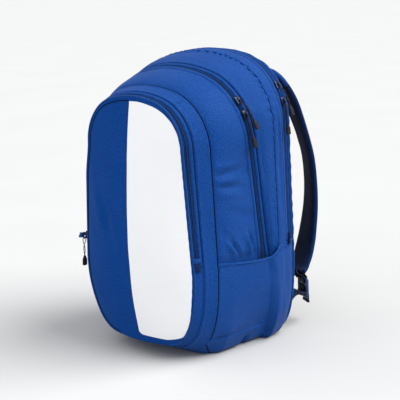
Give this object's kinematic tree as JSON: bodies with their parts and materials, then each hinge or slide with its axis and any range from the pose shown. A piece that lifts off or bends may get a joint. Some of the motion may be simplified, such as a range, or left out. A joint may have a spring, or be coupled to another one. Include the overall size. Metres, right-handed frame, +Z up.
{
  "type": "racket backpack",
  "caption": "Arched soft backpack for rackets with zipped compartments, side pockets, padded shoulder straps and a haul handle.",
  "frame": {"origin": "middle of the base on the floor, on the base panel's lower face", "axes": "+Z up, front of the pack towards -Y, +X to the viewer's right seen from the front"},
  "size_m": [0.3263, 0.4001, 0.4887],
  "materials": {
    "blue_fabric": "woven polyester",
    "pale_coated": "smooth coated fabric",
    "navy_fabric": "lining and mesh fabric",
    "zip_tape": "woven zip tape with moulded coil",
    "webbing": "flat woven webbing",
    "board": "sheet polyethylene",
    "buckle": "moulded acetal",
    "slider": "dark enamelled die casting",
    "pull": "soft moulded rubber",
    "cord": "braided cord"
  },
  "bodies": {
    "root": {"base_panel": "blue_fabric", "base_board": "board", "front_panel_lower": "blue_fabric", "front_stripe_lower": "pale_coated", "pocket_wall_lower": "blue_fabric", "main_wall_lower": "blue_fabric", "rear_wall_lower": "blue_fabric", "divider_front_lower": "navy_fabric", "side_pocket_right": "blue_fabric", "side_pocket_left": "blue_fabric", "pocket_binding_right": "navy_fabric", "pocket_binding_left": "navy_fabric", "zip_end_tabs": "zip_tape", "mid_gusset": "blue_fabric", "divider_rear": "navy_fabric", "zip_main_rear_tape": "zip_tape", "zip_rear_front_tape": "zip_tape", "piping_mid": "navy_fabric"},
    "back": {"rear_gusset": "blue_fabric", "rear_gusset_lower": "blue_fabric", "zip_rear_back_tape": "zip_tape", "back_panel": "navy_fabric", "back_stiffener": "board", "back_pad_left": "navy_fabric", "back_pad_right": "navy_fabric", "strap_anchors": "blue_fabric", "adjuster_webbing_right": "webbing", "adjuster_webbing_left": "webbing", "handle_patch": "webbing"},
    "main_flap": {"front_gusset": "blue_fabric", "pocket_gusset": "blue_fabric", "divider_front": "navy_fabric", "zip_main_front_tape": "zip_tape", "zip_front_rear_tape": "zip_tape", "piping_front": "navy_fabric"},
    "front_flap": {"front_panel": "blue_fabric", "front_stripe": "pale_coated", "zip_front_front_tape": "zip_tape"},
    "strap_r": {"strap_right": "navy_fabric", "ladder_lock_right": "buckle", "webbing_tail_right": "webbing"},
    "strap_l": {"strap_left": "navy_fabric", "ladder_lock_left": "buckle", "webbing_tail_left": "webbing"},
    "handle": {"haul_handle": "webbing"},
    "slide_front": {"slider_front": "slider"},
    "pull_front": {"cord_front": "cord", "pull_end_front": "pull"},
    "slide_main_upper": {"slider_main_upper": "slider"},
    "pull_main_upper": {"cord_main_upper": "cord", "pull_end_main_upper": "pull"},
    "slide_main_lower": {"slider_main_lower": "slider"},
    "pull_main_lower": {"cord_main_lower": "cord", "pull_end_main_lower": "pull"},
    "slide_rear_upper": {"slider_rear_upper": "slider"},
    "pull_rear_upper": {"cord_rear_upper": "cord", "pull_end_rear_upper": "pull"},
    "slide_rear_lower": {"slider_rear_lower": "slider"},
    "pull_rear_lower": {"cord_rear_lower": "cord", "pull_end_rear_lower": "pull"}
  },
  "joints": [
    {"name": "rear_opening", "type": "hinge", "parent": "root", "child": "back", "pos_m": [0, 0.107, 0], "axis": [1, 0, 0], "range_deg": [-8, 0]},
    {"name": "main_opening", "type": "hinge", "parent": "root", "child": "main_flap", "pos_m": [0, -0.147, 0.172], "axis": [1, 0, 0], "range_deg": [0, 12]},
    {"name": "front_opening", "type": "hinge", "parent": "main_flap", "child": "front_flap", "pos_m": [0, -0.147, 0.172], "axis": [1, 0, 0], "range_deg": [0, 60]},
    {"name": "strap_swing_right", "type": "hinge", "parent": "back", "child": "strap_r", "pos_m": [0.072, 0.097, 0.452], "axis": [1, 0, 0], "range_deg": [0, 20]},
    {"name": "strap_swing_left", "type": "hinge", "parent": "back", "child": "strap_l", "pos_m": [-0.072, 0.097, 0.452], "axis": [1, 0, 0], "range_deg": [0, 20]},
    {"name": "handle_swing", "type": "hinge", "parent": "back", "child": "handle", "pos_m": [0, 0.1066, 0.462], "axis": [1, 0, 0], "range_deg": [0, 150]},
    {"name": "slide_front_run", "type": "slide", "parent": "main_flap", "child": "slide_front", "axis": [0.0649, 0, 0.9979], "range_m": [0, 0.13]},
    {"name": "slide_main_upper_run", "type": "hinge", "parent": "root", "child": "slide_main_upper", "pos_m": [0.0435, -0.0073, 0.35405], "axis": [0, 0.9897, 0.1434], "range_deg": [-36, 0]},
    {"name": "slide_main_lower_run", "type": "hinge", "parent": "root", "child": "slide_main_lower", "pos_m": [0.0435, -0.0073, 0.35405], "axis": [0, 0.9897, 0.1434], "range_deg": [0, 15]},
    {"name": "slide_rear_upper_run", "type": "hinge", "parent": "back", "child": "slide_rear_upper", "pos_m": [0.0435, 0.0795, 0.37505], "axis": [0, 1, 0], "range_deg": [-40, 0]},
    {"name": "slide_rear_lower_run", "type": "hinge", "parent": "back", "child": "slide_rear_lower", "pos_m": [0.0435, 0.0795, 0.37505], "axis": [0, 1, 0], "range_deg": [0, 8]},
    {"name": "pull_front_swing", "type": "hinge", "parent": "slide_front", "child": "pull_front", "pos_m": [-0.13074, -0.1175, 0.18447], "axis": [0, 1, 0], "range_deg": [0, 70]},
    {"name": "pull_main_upper_swing", "type": "hinge", "parent": "slide_main_upper", "child": "pull_main_upper", "pos_m": [0.13693, -0.01643, 0.41704], "axis": [0, 0.9897, 0.1434], "range_deg": [-90, 0]},
    {"name": "pull_main_lower_swing", "type": "hinge", "parent": "slide_main_lower", "child": "pull_main_lower", "pos_m": [0.14872, -0.01315, 0.39442], "axis": [0, 0.9897, 0.1434], "range_deg": [-90, 0]},
    {"name": "pull_rear_upper_swing", "type": "hinge", "parent": "slide_rear_upper", "child": "pull_rear_upper", "pos_m": [0.1411, 0.0795, 0.4314], "axis": [0, 1, 0], "range_deg": [-90, 0]},
    {"name": "pull_rear_lower_swing", "type": "hinge", "parent": "slide_rear_lower", "child": "pull_rear_lower", "pos_m": [0.15236, 0.0795, 0.40422], "axis": [0, 1, 0], "range_deg": [-90, 0]}
  ]
}
